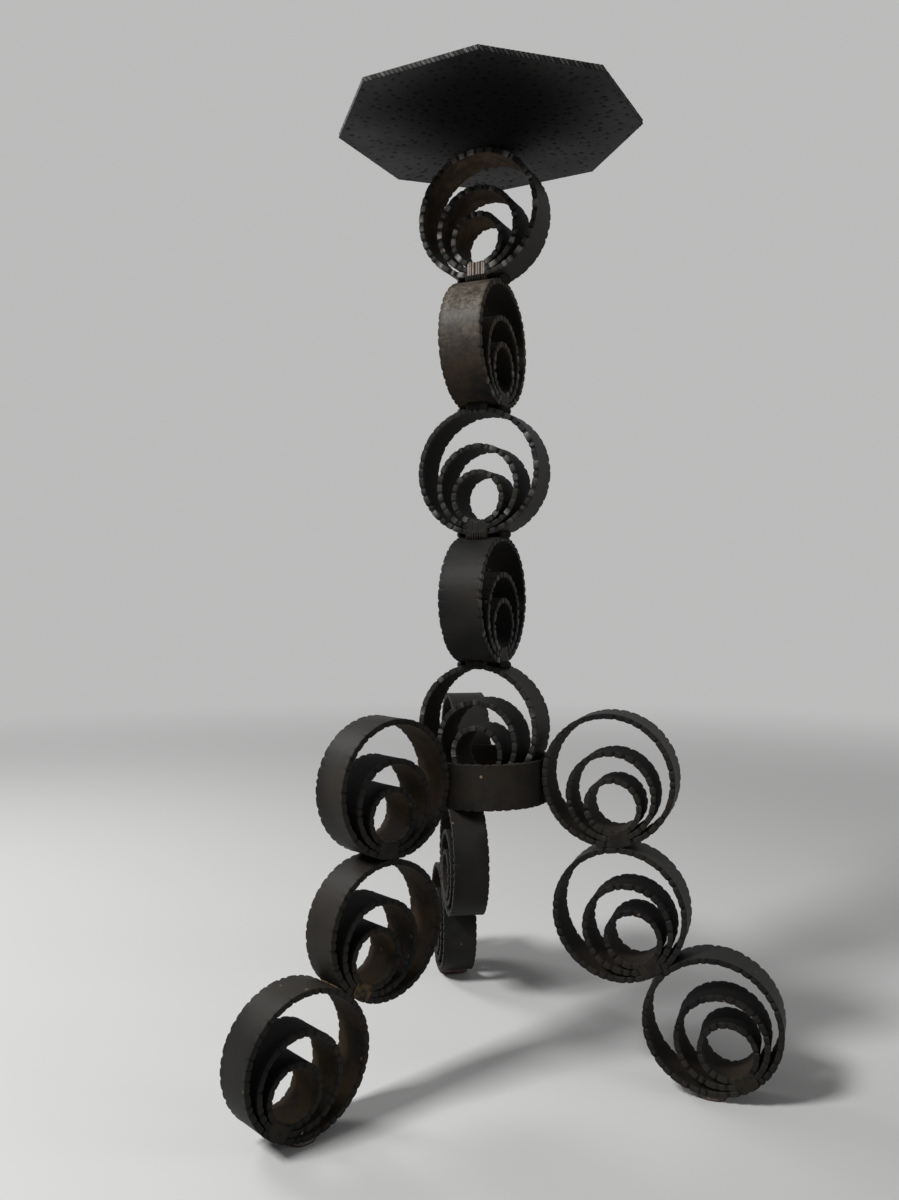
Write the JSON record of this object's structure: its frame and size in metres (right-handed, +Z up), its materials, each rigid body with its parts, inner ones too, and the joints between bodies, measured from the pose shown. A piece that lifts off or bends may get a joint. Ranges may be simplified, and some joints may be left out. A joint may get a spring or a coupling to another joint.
{
  "type": "floor candlestick",
  "caption": "Tripod floor candlestick of black flat-bar rings welded in nested sets, with a hammered octagonal plate for a candle on top.",
  "frame": {"origin": "on the floor, under the middle of the stand's box", "axes": "+Z up, +X along the right leg, with the other legs about a third of a turn to each side"},
  "size_m": [0.4526, 0.5436, 0.9314],
  "materials": {
    "black_iron": "satin black, worn on the notched edges, rust-brown in places",
    "hammered_iron": "satin black with hammered dents",
    "weld_metal": "rippled weld, black and rust-brown",
    "foot_pad": "dull red-brown pad"
  },
  "bodies": {
    "root": {"back_foot_pad": "foot_pad", "back_leg_1_inner_ring": "black_iron", "back_leg_1_middle_ring": "black_iron", "back_leg_1_outer_ring": "black_iron", "back_leg_2_inner_ring": "black_iron", "back_leg_2_middle_ring": "black_iron", "back_leg_2_outer_ring": "black_iron", "back_leg_3_inner_ring": "black_iron", "back_leg_3_middle_ring": "black_iron", "back_leg_3_outer_ring": "black_iron", "back_leg_welds": "weld_metal", "candle_plate": "hammered_iron", "column_1_inner_ring": "black_iron", "column_1_middle_ring": "black_iron", "column_1_outer_ring": "black_iron", "column_2_inner_ring": "black_iron", "column_2_middle_ring": "black_iron", "column_2_outer_ring": "black_iron", "column_3_inner_ring": "black_iron", "column_3_middle_ring": "black_iron", "column_3_outer_ring": "black_iron", "column_4_inner_ring": "black_iron", "column_4_middle_ring": "black_iron", "column_4_outer_ring": "black_iron", "column_5_inner_ring": "black_iron", "column_5_middle_ring": "black_iron", "column_5_outer_ring": "black_iron", "column_crossing_welds": "weld_metal", "column_nest_welds": "weld_metal", "hub_leg_welds": "weld_metal", "hub_ring": "black_iron", "hub_seat_welds": "weld_metal", "left_foot_pad": "foot_pad", "left_leg_1_inner_ring": "black_iron", "left_leg_1_middle_ring": "black_iron", "left_leg_1_outer_ring": "black_iron", "left_leg_2_inner_ring": "black_iron", "left_leg_2_middle_ring": "black_iron", "left_leg_2_outer_ring": "black_iron", "left_leg_3_inner_ring": "black_iron", "left_leg_3_middle_ring": "black_iron", "left_leg_3_outer_ring": "black_iron", "left_leg_welds": "weld_metal", "plate_weld": "weld_metal", "right_foot_pad": "foot_pad", "right_leg_1_inner_ring": "black_iron", "right_leg_1_middle_ring": "black_iron", "right_leg_1_outer_ring": "black_iron", "right_leg_2_inner_ring": "black_iron", "right_leg_2_middle_ring": "black_iron", "right_leg_2_outer_ring": "black_iron", "right_leg_3_inner_ring": "black_iron", "right_leg_3_middle_ring": "black_iron", "right_leg_3_outer_ring": "black_iron", "right_leg_welds": "weld_metal"}
  },
  "joints": []
}
